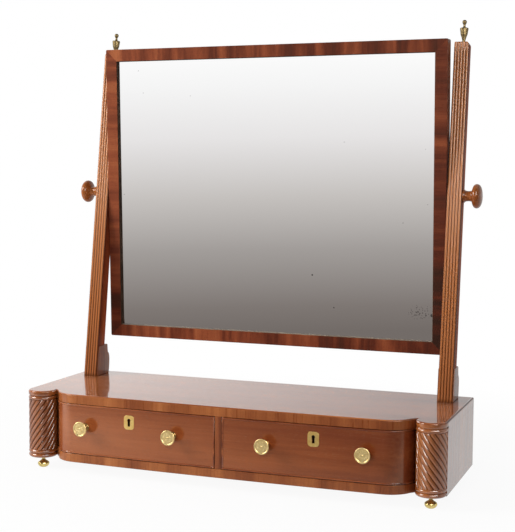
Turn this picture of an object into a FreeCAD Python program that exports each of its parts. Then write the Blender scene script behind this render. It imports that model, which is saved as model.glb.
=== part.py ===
import FreeCAD, Part
import math
import os

# Dressing table mirror: a swing mirror between two raked uprights, on a bow-fronted box with
# two drawers and a column at each front corner. +X is the viewer's right, +Y goes to the back
# and +Z is up. The origin is on the ground under the middle of the whole object.

# Boards of the box
base_width = 640.0
base_depth = 215.0
top_thickness = 13.5
drawer_opening = 75.0
bottom_thickness = 13.0
panel_thickness = 12.0
back_thickness = 9.0
divider_thickness = 9.6
post_width = 52.0
post_depth = 14.0
guide_width = 10.0
guide_height = 20.0

# Bow front: a very flat arc that turns into a tight one at each end
bow_radius = 6900.0
bow_end_radius = 40.0

# Corner columns, and the skin of the top board that is left over them
column_radius = 21.6
column_setback = 27.8
column_gap = 1.8
column_cover = 2.5
ring_count = 2
ring_height = 6.0
ring_bulge = 1.8
shaft_inset = 0.6

# Turned brass feet
foot_height = 18.0
foot_radius = 8.7
foot_spigot_radius = 2.5
foot_spigot_length = 10.0
rear_foot_inset = 26.0
foot_shares = [
    [(0.45, 0.0), (0.84, 0.09), (1.0, 0.29), (0.88, 0.42), (0.46, 0.55), (0.29, 0.70), (0.36, 1.0)],
]

# Drawers, with a thin bead round each front
drawer_play = 0.7
drawer_stop_gap = 0.7
drawer_back_gap = 5.0
front_thickness = 19.0
side_thickness = 7.0
side_height = 66.0
drawer_back_height = 54.0
drawer_bottom_thickness = 4.0
drawer_bottom_rise = 5.0
groove_depth = 3.0
bead_width = 2.2
bead_depth = 6.0
bead_proud = 0.9

# Brass drawer knobs
knob_spread = 71.0
knob_offset = 1.5
knob_rise = 4.0
knob_radius = 11.0
knob_length = 18.0
knob_spigot_radius = 2.0
knob_spigot_length = 12.0
knob_shares = [
    [(0.55, 0.0), (0.55, 0.07)],
    [(0.55, 0.07), (0.33, 0.15), (0.28, 0.38), (0.36, 0.60)],
    [(0.36, 0.60), (0.80, 0.69), (0.97, 0.77)],
    [(0.97, 0.77), (1.0, 0.85), (0.93, 0.93)],
    [(0.93, 0.93), (0.76, 0.93)],
    [(0.76, 0.93), (0.45, 0.98), (0.2, 0.997), (0.0, 1.0)],
]

# Escutcheons, keyholes and locks
plate_width = 16.5
plate_height = 21.0
plate_corner = 5.0
plate_thickness = 1.6
plate_proud = 0.4
plate_drop = 19.7
keyhole_radius = 2.6
keyhole_slot_width = 3.8
keyhole_slot_length = 8.8
keyhole_depth = 14.0
lock_width = 34.0
lock_height = 32.0
lock_depth = 7.5
bolt_width = 14.0
bolt_height = 12.0
bolt_depth = 3.6
bolt_inset = 1.9
bolt_play = 0.2
bolt_travel = 5.0
mortise_play = 0.8

# Raked uprights with a reeded front
upright_inset = 20.8
upright_width = 21.4
upright_height = 521.5
upright_rake = 74.0
upright_setback = 60.0
upright_foot_depth = 24.4
upright_top_depth = 20.2
reed_count = 5
reed_bulge = 1.3
tenon_size = 12.0
tenon_length = 9.0

# Shaped bracket round the foot of each upright: a thin cheek on each side and a block behind
bracket_cheek = 1.0
bracket_cheek_setback = 2.6
bracket_height = 48.0
bracket_depth = 21.5
bracket_bulge_shares = [(0.865, 0.0), (0.95, 0.2), (1.0, 0.48), (0.93, 0.64), (0.75, 0.73)]
bracket_top_share = 0.68

# Brass urn finials, which stand a little behind the middle of the uprights
finial_height = 36.2
finial_setback = 6.5
finial_radius = 6.3
finial_spigot_radius = 2.0
finial_spigot_length = 9.0
finial_shares = [
    [(0.46, 0.0), (0.46, 0.04)],
    [(0.46, 0.04), (0.36, 0.09), (0.40, 0.17), (0.58, 0.28), (0.80, 0.38), (0.91, 0.50), (1.0, 0.62)],
    [(1.0, 0.62), (0.97, 0.655)],
    [(0.97, 0.655), (0.42, 0.667)],
    [(0.42, 0.667), (0.30, 0.72), (0.26, 0.79)],
    [(0.26, 0.79), (0.44, 0.85), (0.53, 0.905), (0.40, 0.975), (0.0, 1.0)],
]

# Mirror frame, glass and backing
side_gap = 1.0
frame_height = 463.2
frame_clearance = 60.9
frame_lean = 17.0
frame_face = 19.1
frame_thickness = 20.0
frame_corner = 2.2
lip_depth = 5.4
rebate_width = 7.0
glass_thickness = 4.0
glass_play = 1.0
block_length = 28.0
block_width = 5.0
block_shares = [-0.6, 0.0, 0.6]
backboard_thickness = 6.0
backboard_margin = 5.0
backboard_bevel = 2.5
board_screw_length = 13.0
board_screw_radius = 1.3
board_screw_head = 2.8
board_screw_margin = 4.5
rail_screw_shares = [-0.92, -0.31, 0.31, 0.92]
stile_screw_shares = [-0.36, 0.36]

# Pivots: a wooden knob on a brass screw that passes the upright into a plate on the frame
pivot_rise = 4.2
pivot_knob_radius = 17.8
pivot_knob_length = 28.0
pivot_knob_gap = 0.2
pivot_screw_radius = 3.0
pivot_screw_hold = 15.0
pivot_screw_reach = 9.0
pivot_play = 0.06
pivot_hole_play = 0.5
pivot_plate_width = 13.0
pivot_plate_height = 40.0
pivot_plate_thickness = 2.5
plate_screw_spread = 13.0
plate_screw_radius = 1.4
plate_screw_head = 2.9
plate_screw_length = 9.0
washer_radius = 8.0
washer_gap = 0.3
pivot_knob_shares = [
    [(0.54, 0.0), (0.54, 0.08)],
    [(0.54, 0.08), (0.42, 0.18), (0.40, 0.34), (0.46, 0.48)],
    [(0.46, 0.48), (0.84, 0.52)],
    [(0.84, 0.52), (0.97, 0.58), (1.0, 0.68), (0.96, 0.79), (0.84, 0.87)],
    [(0.84, 0.87), (0.50, 0.965), (0.22, 0.995), (0.0, 1.0)],
]

# A glue line, and how far a cut runs past what it cuts
glue_gap = 0.1
overrun = 5.0

V = FreeCAD.Vector
up = V(0, 0, 1)
right = V(1, 0, 0)
back = V(0, 1, 0)

# Heights
floor_z = foot_height + bottom_thickness
top_under_z = floor_z + drawer_opening
base_top_z = top_under_z + top_thickness
column_head_z = base_top_z - column_cover
drawer_foot_z = floor_z + drawer_play
drawer_head_z = top_under_z - drawer_play
drawer_bottom_z = drawer_foot_z + drawer_bottom_rise
drawer_back_z = drawer_bottom_z + drawer_bottom_thickness
knob_z = (drawer_foot_z + drawer_head_z) / 2 + knob_rise
plate_z = drawer_head_z - plate_drop
keyhole_z = plate_z + (keyhole_slot_length - keyhole_radius) / 2
pivot_height = frame_clearance + frame_height / 2 + pivot_rise
pivot_z = base_top_z + pivot_height

# Places across the width
half_width = base_width / 2
panel_x = half_width - panel_thickness
column_x = half_width - column_radius
bow_half_width = column_x - column_radius - column_gap
post_x = panel_x - post_width
rear_foot_x = panel_x - rear_foot_inset
drawer_inner_x = divider_thickness / 2 + drawer_play
drawer_outer_x = post_x - drawer_play
lock_x = (drawer_inner_x + bow_half_width) / 2
outer_knob_x = lock_x + knob_offset + knob_spread
inner_knob_x = lock_x + knob_offset - knob_spread
upright_outer_x = half_width - upright_inset
upright_inner_x = upright_outer_x - upright_width
upright_x = (upright_inner_x + upright_outer_x) / 2
frame_half_width = upright_inner_x - side_gap

# Places in the depth, from the back of the box towards the front
rear_foot_y = -rear_foot_inset
column_y = column_setback - base_depth
bow_centre_y = bow_radius - base_depth
bow_end_x = bow_half_width - bow_end_radius
bow_end_y = bow_centre_y - math.sqrt((bow_radius - bow_end_radius) ** 2 - bow_end_x ** 2)
post_y = bow_end_y + drawer_stop_gap
front_y = -base_depth - overrun
front_back_y = front_thickness - base_depth
drawer_back_y = -back_thickness - drawer_back_gap


def block(x0, x1, y0, y1, z0, z1):
    """Box between two corners."""
    return Part.makeBox(x1 - x0, y1 - y0, z1 - z0, V(x0, y0, z0))


def rod(radius, start, end):
    """Round bar between two points."""
    return Part.makeCylinder(radius, (end - start).Length, start, end - start)


def polyline(points):
    """Straight edges through a row of points, leaving out steps of no length."""
    steps = zip(points, points[1:])
    return [Part.LineSegment(a, b).toShape() for a, b in steps if (b - a).Length > 0]


def curve(points):
    """Smooth edge through a row of points."""
    spline = Part.BSplineCurve()
    spline.interpolate(points)
    return spline.toShape()


def face(edges):
    """Flat face inside a ring of edges."""
    return Part.Face(Part.Wire(edges))


def turned(stretches, radius, height):
    """Solid turned about Z. Each stretch of its side is a line or, past two points, a curve."""
    rows = [[V(r * radius, 0, h * height) for r, h in stretch] for stretch in stretches]
    edges = []
    for row in rows:
        edges += polyline(row) if len(row) == 2 else [curve(row)]
    start = rows[0][0]
    end = rows[-1][-1]
    edges += polyline([end, V(0, 0, end.z), V(0, 0, start.z), start])
    return face(edges).revolve(V(0, 0, 0), up, 360)


def placed(shape, base, direction):
    """Copy of a shape made along Z, stood at a point and turned to a direction."""
    copy = shape.copy()
    copy.Placement = FreeCAD.Placement(base, FreeCAD.Rotation(up, direction))
    return copy


def same(shape):
    """A piece on the right side of the object, where all paired pieces are made."""
    return shape


def flipped(shape):
    """The same piece on the left side."""
    return shape.mirror(V(0, 0, 0), right)


def both(shapes):
    """Pieces of the right side together with those of the left."""
    return shapes + [flipped(shape) for shape in shapes]


def bow_prism(offset, z0, z1):
    """Block between the bow front, moved out by an offset, and the line where its ends run straight."""
    centre = V(0, bow_centre_y, z0)
    end = V(bow_end_x, bow_end_y, z0)
    spoke = (end - centre).normalize()
    middle = centre - back * (bow_radius + offset)
    join = centre + spoke * (bow_radius + offset)
    shoulder = end + (spoke + right).normalize() * (bow_end_radius + offset)
    tip = end + right * (bow_end_radius + offset)
    far_join, far_shoulder, far_tip = [V(-point.x, point.y, z0) for point in (join, shoulder, tip)]
    arcs = [(far_tip, far_shoulder, far_join), (far_join, middle, join), (join, shoulder, tip)]
    edges = [Part.Arc(*points).toShape() for points in arcs] + polyline([tip, far_tip])
    return face(edges).extrude(up * (z1 - z0))


def bow_facing(x):
    """The way that the bow front faces at some distance from its middle."""
    return V(x, -math.sqrt(bow_radius ** 2 - x ** 2), 0).normalize()


def bow_point(x, z):
    """Point of the bow front."""
    return V(0, bow_centre_y, z) + bow_facing(x) * bow_radius


def column_rod(radius, z0, z1):
    """Round bar on the axis of a column."""
    return rod(radius, V(column_x, column_y, z0), V(column_x, column_y, z1))


def base_top():
    """Top board: it covers the columns and takes the uprights and the lock bolts."""
    board = block(-half_width, half_width, column_y, 0, top_under_z, base_top_z)
    ear = column_rod(column_radius, top_under_z, base_top_z)
    board = board.fuse(both([ear]) + [bow_prism(0, top_under_z, base_top_z)]).removeSplitter()
    housing = column_rod(column_radius + glue_gap, top_under_z - overrun, column_head_z)
    mortise = bolt_block(mortise_play, bolt_travel + mortise_play)
    return board.cut(both([housing, mortise, tenon(glue_gap)]))


def base_bottom():
    """Bottom board, cut out round the columns."""
    board = block(-panel_x, panel_x, column_y, 0, foot_height, floor_z)
    board = board.fuse(bow_prism(0, foot_height, floor_z)).removeSplitter()
    housing = column_rod(column_radius + glue_gap, foot_height - overrun, floor_z + overrun)
    housing = housing.cut(block(0, half_width, post_y, 0, 0, top_under_z))
    return board.cut(both([housing, foot_spigot(rear_foot_x, rear_foot_y)]))


def side_panel():
    return block(panel_x, half_width, column_y, 0, foot_height, top_under_z)


def back_panel():
    return block(-panel_x, panel_x, -back_thickness, 0, floor_z, top_under_z)


def centre_divider():
    """Upright board between the drawers, with its front edge in the bow."""
    half = divider_thickness / 2
    cheeks = block(-half, half, front_y, 0, floor_z, top_under_z)
    nose = bow_prism(0, floor_z, top_under_z).common(cheeks)
    tail = block(-half, half, bow_end_y, -back_thickness, floor_z, top_under_z)
    return nose.fuse(tail).removeSplitter()


def corner_post():
    """Post behind a column, against which the end of the drawer front stops."""
    return block(post_x, panel_x, post_y, post_y + post_depth, floor_z, top_under_z)


def drawer_guide():
    """Strip that keeps the outer side of a drawer straight behind the post."""
    return block(post_x, post_x + guide_width, post_y + post_depth, -back_thickness, floor_z,
                 floor_z + guide_height)


def column_ring(z):
    """Half-round bead round a column."""
    low = V(column_radius - ring_bulge, 0, 0)
    high = low + up * ring_height
    bead = Part.Arc(low, V(column_radius, 0, ring_height / 2), high).toShape()
    edges = [bead] + polyline([high, up * ring_height, V(0, 0, 0), low])
    return placed(face(edges).revolve(V(0, 0, 0), up, 360), V(column_x, column_y, z), up)


def column():
    """Turned column with ring beads at both ends, cut away for the side panel and the post."""
    low_z = foot_height + ring_count * ring_height
    high_z = column_head_z - ring_count * ring_height
    shaft = column_rod(column_radius - shaft_inset, low_z, high_z)
    rings = [column_ring(z + i * ring_height) for z in (foot_height, high_z) for i in range(ring_count)]
    return shaft.fuse(rings).cut([
        block(panel_x, half_width, column_y, 0, 0, top_under_z),
        block(0, half_width, post_y, 0, 0, top_under_z),
        foot_spigot(column_x, column_y),
    ])


def foot_spigot(x, y):
    return rod(foot_spigot_radius, V(x, y, foot_height), V(x, y, foot_height + foot_spigot_length))


def foot(x, y):
    """Turned foot with a spigot into the column or the board above it."""
    bun = placed(turned(foot_shares, foot_radius, foot_height), V(x, y, 0), up)
    return bun.fuse(foot_spigot(x, y))


def drawer_bead():
    """Bead round a drawer front: strips along its top and bottom and up its inner end."""
    skin = bow_prism(bead_proud, drawer_foot_z, drawer_head_z)
    skin = skin.cut(bow_prism(-bead_depth, drawer_foot_z, drawer_head_z))
    low_z = drawer_foot_z + bead_width
    high_z = drawer_head_z - bead_width
    strips = block(drawer_inner_x, half_width, front_y, bow_end_y, drawer_foot_z, drawer_head_z)
    field = block(drawer_inner_x + bead_width, half_width, front_y, bow_end_y, low_z, high_z)
    return skin.common(strips.cut(field))


def drawer_front():
    """Solid front that follows the bow to the column, where its end runs back to the post."""
    slab = bow_prism(0, drawer_foot_z, drawer_head_z)
    flat = block(drawer_inner_x, half_width, front_y, front_back_y, drawer_foot_z, drawer_head_z)
    end = block(drawer_outer_x, half_width, front_y, bow_end_y, drawer_foot_z, drawer_head_z)
    front = slab.common(flat.fuse(end)).removeSplitter()
    cuts = [drawer_bead(), plate_blank(), keyhole(), lock_blank(), drawer_bottom(glue_gap)]
    return front.cut(cuts + [knob_spigot(inner_knob_x), knob_spigot(outer_knob_x)])


def drawer_side(x):
    """Thin side with a groove for the bottom."""
    side = block(x, x + side_thickness, front_back_y, drawer_back_y, drawer_foot_z,
                 drawer_foot_z + side_height)
    return side.cut(drawer_bottom(glue_gap))


def drawer_back():
    """Back between the sides, standing on the bottom."""
    return block(drawer_inner_x + side_thickness, drawer_outer_x - side_thickness,
                 drawer_back_y - side_thickness, drawer_back_y,
                 drawer_back_z, drawer_back_z + drawer_back_height)


def drawer_bottom(play):
    """Bottom board, or the grooves for it when it is grown by some play."""
    reach = groove_depth - glue_gap + play
    return block(drawer_inner_x + side_thickness - reach, drawer_outer_x - side_thickness + reach,
                 front_back_y - reach, drawer_back_y, drawer_bottom_z, drawer_back_z + play)


def knob_spigot(x):
    start = bow_point(x, knob_z)
    return rod(knob_spigot_radius, start, start - bow_facing(x) * knob_spigot_length)


def drawer_knob(x):
    """Stamped knob with a raised boss inside a rim, on a spigot into the drawer front."""
    head = placed(turned(knob_shares, knob_radius, knob_length), bow_point(x, knob_z), bow_facing(x))
    return head.fuse(knob_spigot(x))


def plate_blank():
    """Rounded plate let into the drawer front round the keyhole."""
    x = plate_width / 2
    y = plate_height / 2
    plate = block(-x, x, -y, y, plate_proud - plate_thickness, plate_proud)
    corners = [edge for edge in plate.Edges if edge.Vertexes[0].Z != edge.Vertexes[1].Z]
    return placed(plate.makeFillet(plate_corner, corners), bow_point(lock_x, plate_z), bow_facing(lock_x))


def keyhole():
    """Round eye over a slot, cut through the plate and the front into the lock."""
    half = keyhole_slot_width / 2
    depth = keyhole_depth + overrun
    slot = block(-half, half, 0, keyhole_slot_length, 0, depth)
    eye = Part.makeCylinder(keyhole_radius, depth)
    facing = bow_facing(lock_x)
    return placed(eye.fuse(slot), bow_point(lock_x, keyhole_z) + facing * overrun, -facing)


def escutcheon():
    return plate_blank().cut(keyhole())


def lock_blank():
    """Case let into the back of the drawer front at its top edge."""
    half = lock_width / 2
    return block(lock_x - half, lock_x + half, front_back_y - lock_depth, front_back_y,
                 drawer_head_z - lock_height, drawer_head_z)


def bolt_block(play, rise):
    """Bolt of a lock, grown by some play and raised."""
    half = bolt_width / 2 + play
    y = front_back_y - bolt_inset
    return block(lock_x - half, lock_x + half, y - bolt_depth - play, y + play,
                 drawer_head_z - bolt_height - play, drawer_head_z + rise)


def lock_case():
    return lock_blank().cut([bolt_block(bolt_play, overrun), keyhole()])


def upright_front(height):
    """Front of an upright at some height over the top board."""
    return upright_rake * height / upright_height - upright_setback


def upright_back(height):
    taper = (upright_foot_depth - upright_top_depth) * height / upright_height
    return upright_front(height) + upright_foot_depth - taper


def upright_centre(height):
    return V(upright_x, (upright_front(height) + upright_back(height)) / 2, base_top_z + height)


upright_axis = (upright_centre(upright_height) - upright_centre(0)).normalize()
finial_seat = upright_centre(upright_height) - right.cross(upright_axis) * finial_setback
pivot_y = upright_centre(pivot_height).y
pivot_centre = V(0, pivot_y, pivot_z)


def upright_section(height):
    """Outline of an upright: reeds across the front, then straight sides and back."""
    root_y = upright_front(height) + reed_bulge
    z = base_top_z + height
    pitch = upright_width / reed_count
    roots = [V(upright_inner_x + i * pitch, root_y, z) for i in range(reed_count + 1)]
    crest = right * (pitch / 2) - back * reed_bulge
    reeds = [Part.Arc(a, a + crest, b).toShape() for a, b in zip(roots, roots[1:])]
    corners = [V(upright_outer_x, upright_back(height), z), V(upright_inner_x, upright_back(height), z)]
    return Part.Wire(reeds + polyline([roots[-1]] + corners + [roots[0]]))


def tenon(play):
    """Tenon under an upright, or its mortise when it is grown by some play."""
    centre = upright_centre(0)
    half = tenon_size / 2 + play
    return block(centre.x - half, centre.x + half, centre.y - half, centre.y + half,
                 base_top_z - tenon_length - play, base_top_z)


def reeded_post():
    """Tapered, raked post with a reeded front, a little longer than the upright."""
    return Part.makeLoft([upright_section(0), upright_section(upright_height + overrun)], True, True)


def upright():
    """Reeded post on a tenon, cut square to its axis under the finial."""
    reach = upright_foot_depth
    end = placed(block(-reach, reach, -reach, reach, 0, reach), upright_centre(upright_height), upright_axis)
    hole = rod(pivot_screw_radius + pivot_play, V(frame_half_width, pivot_y, pivot_z),
               V(half_width, pivot_y, pivot_z))
    return reeded_post().fuse(tenon(0)).cut([end, hole, finial_spigot()])


def bracket():
    """Shaped block that stiffens the foot of an upright from behind and on both sides."""
    width = upright_width + 2 * bracket_cheek
    x = upright_x - width / 2
    foot_y = upright_back(0)
    top_z = base_top_z + bracket_height
    bulge = [V(x, foot_y + depth * bracket_depth, base_top_z + height * bracket_height)
             for depth, height in bracket_bulge_shares]
    rest = [
        bulge[-1],
        V(x, foot_y + bracket_top_share * bracket_depth, top_z),
        V(x, upright_front(bracket_height) + bracket_cheek_setback, top_z),
        V(x, upright_front(0) + bracket_cheek_setback, base_top_z),
        bulge[0],
    ]
    return face([curve(bulge)] + polyline(rest)).extrude(right * width).cut(reeded_post())


def finial_spigot():
    return rod(finial_spigot_radius, finial_seat - upright_axis * finial_spigot_length, finial_seat)


def finial():
    """Turned urn on the upright, in line with its rake."""
    urn = turned(finial_shares, finial_radius, finial_height)
    return placed(urn, finial_seat, upright_axis).fuse(finial_spigot())


def pivot_washer():
    """Washer on the inner face of an upright."""
    outer = V(upright_inner_x, pivot_y, pivot_z)
    inner = outer - right * (side_gap - washer_gap)
    return rod(washer_radius, inner, outer).cut(rod(pivot_screw_radius + pivot_play, inner, outer))


def pivot_screw():
    """Pin of the pivot, from inside the frame to inside the knob."""
    return rod(pivot_screw_radius, V(frame_half_width - pivot_screw_reach, pivot_y, pivot_z),
               V(upright_outer_x + pivot_knob_gap + pivot_screw_hold, pivot_y, pivot_z))


def pivot_knob():
    """Turned hand knob at the outer face of an upright."""
    knob = turned(pivot_knob_shares, pivot_knob_radius, pivot_knob_length)
    return placed(knob, V(upright_outer_x + pivot_knob_gap, pivot_y, pivot_z), right).cut(pivot_screw())


# The mirror is laid out upright about the middle of its frame, then hung on the pivots
frame_top_z = frame_height / 2
frame_back_y = frame_thickness / 2
glass_y = lip_depth - frame_back_y
glass_half_x = frame_half_width - frame_face + rebate_width
glass_half_z = frame_top_z - frame_face + rebate_width
board_half_x = frame_half_width - backboard_margin
board_half_z = frame_top_z - backboard_margin


def hung(shape):
    """Piece of the mirror moved onto the pivots and leaned with its top forward."""
    copy = shape.copy()
    copy.translate(pivot_centre - up * pivot_rise)
    copy.rotate(pivot_centre, right, math.degrees(math.asin(frame_lean / frame_height)))
    return copy


def countersunk(radius, head, length):
    """Screw along Z with a conical head, its flat face at the origin."""
    cone_depth = head - radius
    cone = Part.makeCone(radius, head, cone_depth, up * -cone_depth)
    return cone.fuse(rod(radius, up * -length, up * -cone_depth))


def frame_outline():
    """Room that the frame takes up, with its outer corners rounded."""
    whole = block(-frame_half_width, frame_half_width, -frame_back_y, frame_back_y, -frame_top_z, frame_top_z)
    corners = [edge for edge in whole.Edges if edge.BoundBox.YLength > frame_back_y]
    return whole.makeFillet(frame_corner, corners)


def frame_member(half_length, out, angle):
    """Member of the frame: a mitred bar with a rebate behind its inner edge, turned to its side."""
    inner = half_length - frame_face
    low = out - frame_face
    corners = [V(x, -frame_back_y, z) for x, z in
               ((-half_length, out), (half_length, out), (inner, low), (-inner, low))]
    bar = face(polyline(corners + corners[:1])).extrude(back * frame_thickness)
    bar = bar.cut(block(-half_length, half_length, glass_y, frame_back_y, low, low + rebate_width))
    bar.rotate(V(0, 0, 0), back, angle)
    return bar.common(frame_outline()).cut(board_screws() + both(plate_screws() + [plate_block(), screw_hole()]))


def mirror_glass():
    x = glass_half_x - glass_play
    z = glass_half_z - glass_play
    return block(-x, x, glass_y, glass_y + glass_thickness, -z, z)


def glass_blocks():
    """Small blocks behind the glass, along all four sides of the rebate."""
    y = glass_y + glass_thickness
    half = block_length / 2
    blocks = []
    for share in block_shares:
        x = share * glass_half_x
        z = share * glass_half_z
        side = block(glass_half_x - block_width, glass_half_x, y, frame_back_y, z - half, z + half)
        top = block(x - half, x + half, y, frame_back_y, glass_half_z - block_width, glass_half_z)
        blocks += both([side]) + [top, top.mirror(V(0, 0, 0), up)]
    return blocks


def board_screws():
    """Screws along the edges of the backboard, into the frame."""
    x = board_half_x - board_screw_margin
    z = board_half_z - board_screw_margin
    places = [(share * x, side * z) for share in rail_screw_shares for side in (-1, 1)]
    places += [(side * x, share * z) for share in stile_screw_shares for side in (-1, 1)]
    screw = countersunk(board_screw_radius, board_screw_head, board_screw_length)
    return [placed(screw, V(px, frame_back_y + backboard_thickness, pz), back) for px, pz in places]


def backboard():
    """Board over the whole back of the mirror, with its rear edges bevelled."""
    board = block(-board_half_x, board_half_x, frame_back_y, frame_back_y + backboard_thickness,
                  -board_half_z, board_half_z)
    rim = [edge for edge in board.Edges if edge.BoundBox.YMin > frame_back_y]
    return board.makeChamfer(backboard_bevel, rim).cut(board_screws())


def plate_block():
    """Plate let into the outer edge of a stile."""
    half = pivot_plate_width / 2
    return block(frame_half_width - pivot_plate_thickness, frame_half_width, -half, half,
                 pivot_rise - pivot_plate_height / 2, pivot_rise + pivot_plate_height / 2)


def plate_screws():
    screw = countersunk(plate_screw_radius, plate_screw_head, plate_screw_length)
    heights = (pivot_rise - plate_screw_spread, pivot_rise + plate_screw_spread)
    return [placed(screw, V(frame_half_width, 0, z), right) for z in heights]


def screw_hole():
    """Room round the end of the pivot screw inside a stile."""
    start = V(frame_half_width - pivot_screw_reach - pivot_hole_play, 0, pivot_rise)
    return rod(pivot_screw_radius + pivot_hole_play, start, V(frame_half_width, 0, pivot_rise))


def pivot_plate():
    bore = rod(pivot_screw_radius + pivot_play, V(0, 0, pivot_rise), V(half_width, 0, pivot_rise))
    return plate_block().cut(plate_screws() + [bore])


nodes = {
    "base_top": base_top(),
    "base_bottom": base_bottom(),
    "back_panel": back_panel(),
    "centre_divider": centre_divider(),
    "drawer_guides": Part.makeCompound(both([drawer_guide()])),
    "pivot_washers": Part.makeCompound(both([pivot_washer()])),
    "frame_top_rail": hung(frame_member(frame_half_width, frame_top_z, 0)),
    "frame_bottom_rail": hung(frame_member(frame_half_width, frame_top_z, 180)),
    "frame_left_stile": hung(frame_member(frame_top_z, frame_half_width, -90)),
    "frame_right_stile": hung(frame_member(frame_top_z, frame_half_width, 90)),
    "mirror_glass": hung(mirror_glass()),
    "mirror_backboard": hung(backboard()),
    "glass_blocks": hung(Part.makeCompound(glass_blocks())),
    "backboard_screws": hung(Part.makeCompound(board_screws())),
    "pivot_plate_screws": hung(Part.makeCompound(both(plate_screws()))),
}
paired = {
    "side_panel": side_panel(),
    "corner_post": corner_post(),
    "column": column(),
    "front_foot": foot(column_x, column_y),
    "rear_foot": foot(rear_foot_x, rear_foot_y),
    "upright": upright(),
    "bracket": bracket(),
    "finial": finial(),
    "drawer_front": drawer_front(),
    "drawer_bead": drawer_bead(),
    "drawer_outer_side": drawer_side(drawer_outer_x - side_thickness),
    "drawer_inner_side": drawer_side(drawer_inner_x),
    "drawer_back": drawer_back(),
    "drawer_bottom": drawer_bottom(0),
    "drawer_outer_knob": drawer_knob(outer_knob_x),
    "drawer_inner_knob": drawer_knob(inner_knob_x),
    "escutcheon": escutcheon(),
    "lock_case": lock_case(),
    "lock_bolt": bolt_block(0, 0),
    "pivot_knob": pivot_knob(),
    "pivot_screw": pivot_screw(),
    "pivot_plate": hung(pivot_plate()),
}
for side, place in (("right", same), ("left", flipped)):
    for name, shape in paired.items():
        nodes[f"{side}_{name}"] = place(shape)

# The origin lies half-way between the foremost point of the object and the rearmost one
whole = FreeCAD.BoundBox()
for shape in nodes.values():
    whole.add(shape.optimalBoundingBox(False))

os.makedirs("parts", exist_ok=True)
for name, shape in nodes.items():
    shape.translate(back * -whole.Center.y)
    shape.exportStep(f"parts/{name}.step")
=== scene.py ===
import math

import bmesh
import bpy
from mathutils import Matrix, Vector


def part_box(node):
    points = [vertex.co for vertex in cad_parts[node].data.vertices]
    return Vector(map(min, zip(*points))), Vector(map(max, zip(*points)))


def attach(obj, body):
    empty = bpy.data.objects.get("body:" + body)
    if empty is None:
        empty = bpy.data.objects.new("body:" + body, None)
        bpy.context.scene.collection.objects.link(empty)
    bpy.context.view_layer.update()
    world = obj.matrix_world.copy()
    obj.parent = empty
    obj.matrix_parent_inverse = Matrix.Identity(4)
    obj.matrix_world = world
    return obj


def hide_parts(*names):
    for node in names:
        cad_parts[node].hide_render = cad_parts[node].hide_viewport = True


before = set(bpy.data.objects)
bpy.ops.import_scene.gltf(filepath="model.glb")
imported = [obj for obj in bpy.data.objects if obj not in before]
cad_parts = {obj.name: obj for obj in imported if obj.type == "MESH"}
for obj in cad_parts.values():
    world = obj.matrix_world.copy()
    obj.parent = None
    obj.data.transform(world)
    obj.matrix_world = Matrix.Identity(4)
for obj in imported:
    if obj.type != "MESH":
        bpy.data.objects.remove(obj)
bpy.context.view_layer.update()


# Bottom board of the box: a mahogany board with a very flat bow front that turns tightly at its ends,
# cut out round the corner columns. Its front edge is faced with veneer whose grain stands upright.

mm = 0.001
box_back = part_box("base_top")[1].y
bow_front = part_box("base_top")[0].y
half_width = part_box("base_top")[1].x
panel_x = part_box("base_bottom")[1].x
column_radius = 21.6 * mm
column_x = half_width - column_radius
column_y = bow_front + 27.8 * mm
housing_radius = column_radius + 0.1 * mm
post_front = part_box("right_corner_post")[0].y
bow_radius = 6900 * mm
bow_end_radius = 40 * mm
bow_tip_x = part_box("right_drawer_front")[1].x
bow_centre_y = bow_front + bow_radius
bow_end_x = bow_tip_x - bow_end_radius
bow_end_y = bow_centre_y - math.sqrt((bow_radius - bow_end_radius) ** 2 - bow_end_x ** 2)


def arc(centre, radius, start, stop, steps):
    """Points of an arc between two angles in degrees."""
    angles = [math.radians(start + (stop - start) * i / steps) for i in range(steps + 1)]
    return [Vector((centre[0] + radius * math.cos(a), centre[1] + radius * math.sin(a))) for a in angles]


def bow_line(start, proud=0.0):
    """Plan of the bow front from some distance off its middle to the tip at its right end."""
    turn = math.degrees(math.asin(bow_end_x / (bow_radius - bow_end_radius)))
    first = math.degrees(math.asin(start / bow_radius))
    flat = arc((0, bow_centre_y), bow_radius + proud, first - 90, turn - 90, 36)
    return flat[:-1] + arc((bow_end_x, bow_end_y), bow_end_radius + proud, turn - 90, 0, 20)


def both_halves(half):
    """Whole plan of a board from its right half, which runs from the middle of the bow to the back."""
    left = [Vector((-p.x, p.y)) for p in reversed(half) if p.x > 0.01 * mm]
    return left + half


def moved_in(outline, margins):
    """Outline with each point moved in from both its sides by a margin of its own."""
    moved = []
    for i, (point, margin) in enumerate(zip(outline, margins)):
        before = (point - outline[i - 1]).normalized()
        after = (outline[(i + 1) % len(outline)] - point).normalized()
        inward = Vector((-before.y - after.y, before.x + after.x))
        moved.append(point + inward * margin / (1 + max(-0.6, before.dot(after))))
    return moved


def joined(name, points, faces, darkened=None):
    """New piece from its points and faces, marked where wear darkens it and where shade is painted on."""
    mesh = bpy.data.meshes.new(name)
    mesh.from_pydata([tuple(p) for p in points], [], faces)
    if darkened:
        mesh.attributes.new("darkened", "FLOAT", "POINT").data.foreach_set("value", darkened)
    piece = bpy.data.objects.new(name, mesh)
    bpy.context.scene.collection.objects.link(piece)
    return piece


def stacked(name, rings, darkened=None):
    """Closed piece from rings of points, one over the other, with flat ends."""
    count = len(rings[0])
    points = [p for ring in rings for p in ring]
    faces = [list(reversed(range(count))), list(range(len(points) - count, len(points)))]
    for level in range(len(rings) - 1):
        base = level * count
        for i in range(count):
            j = (i + 1) % count
            faces.append((base + i, base + j, base + count + j, base + count + i))
    return joined(name, points, faces, darkened)


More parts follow.
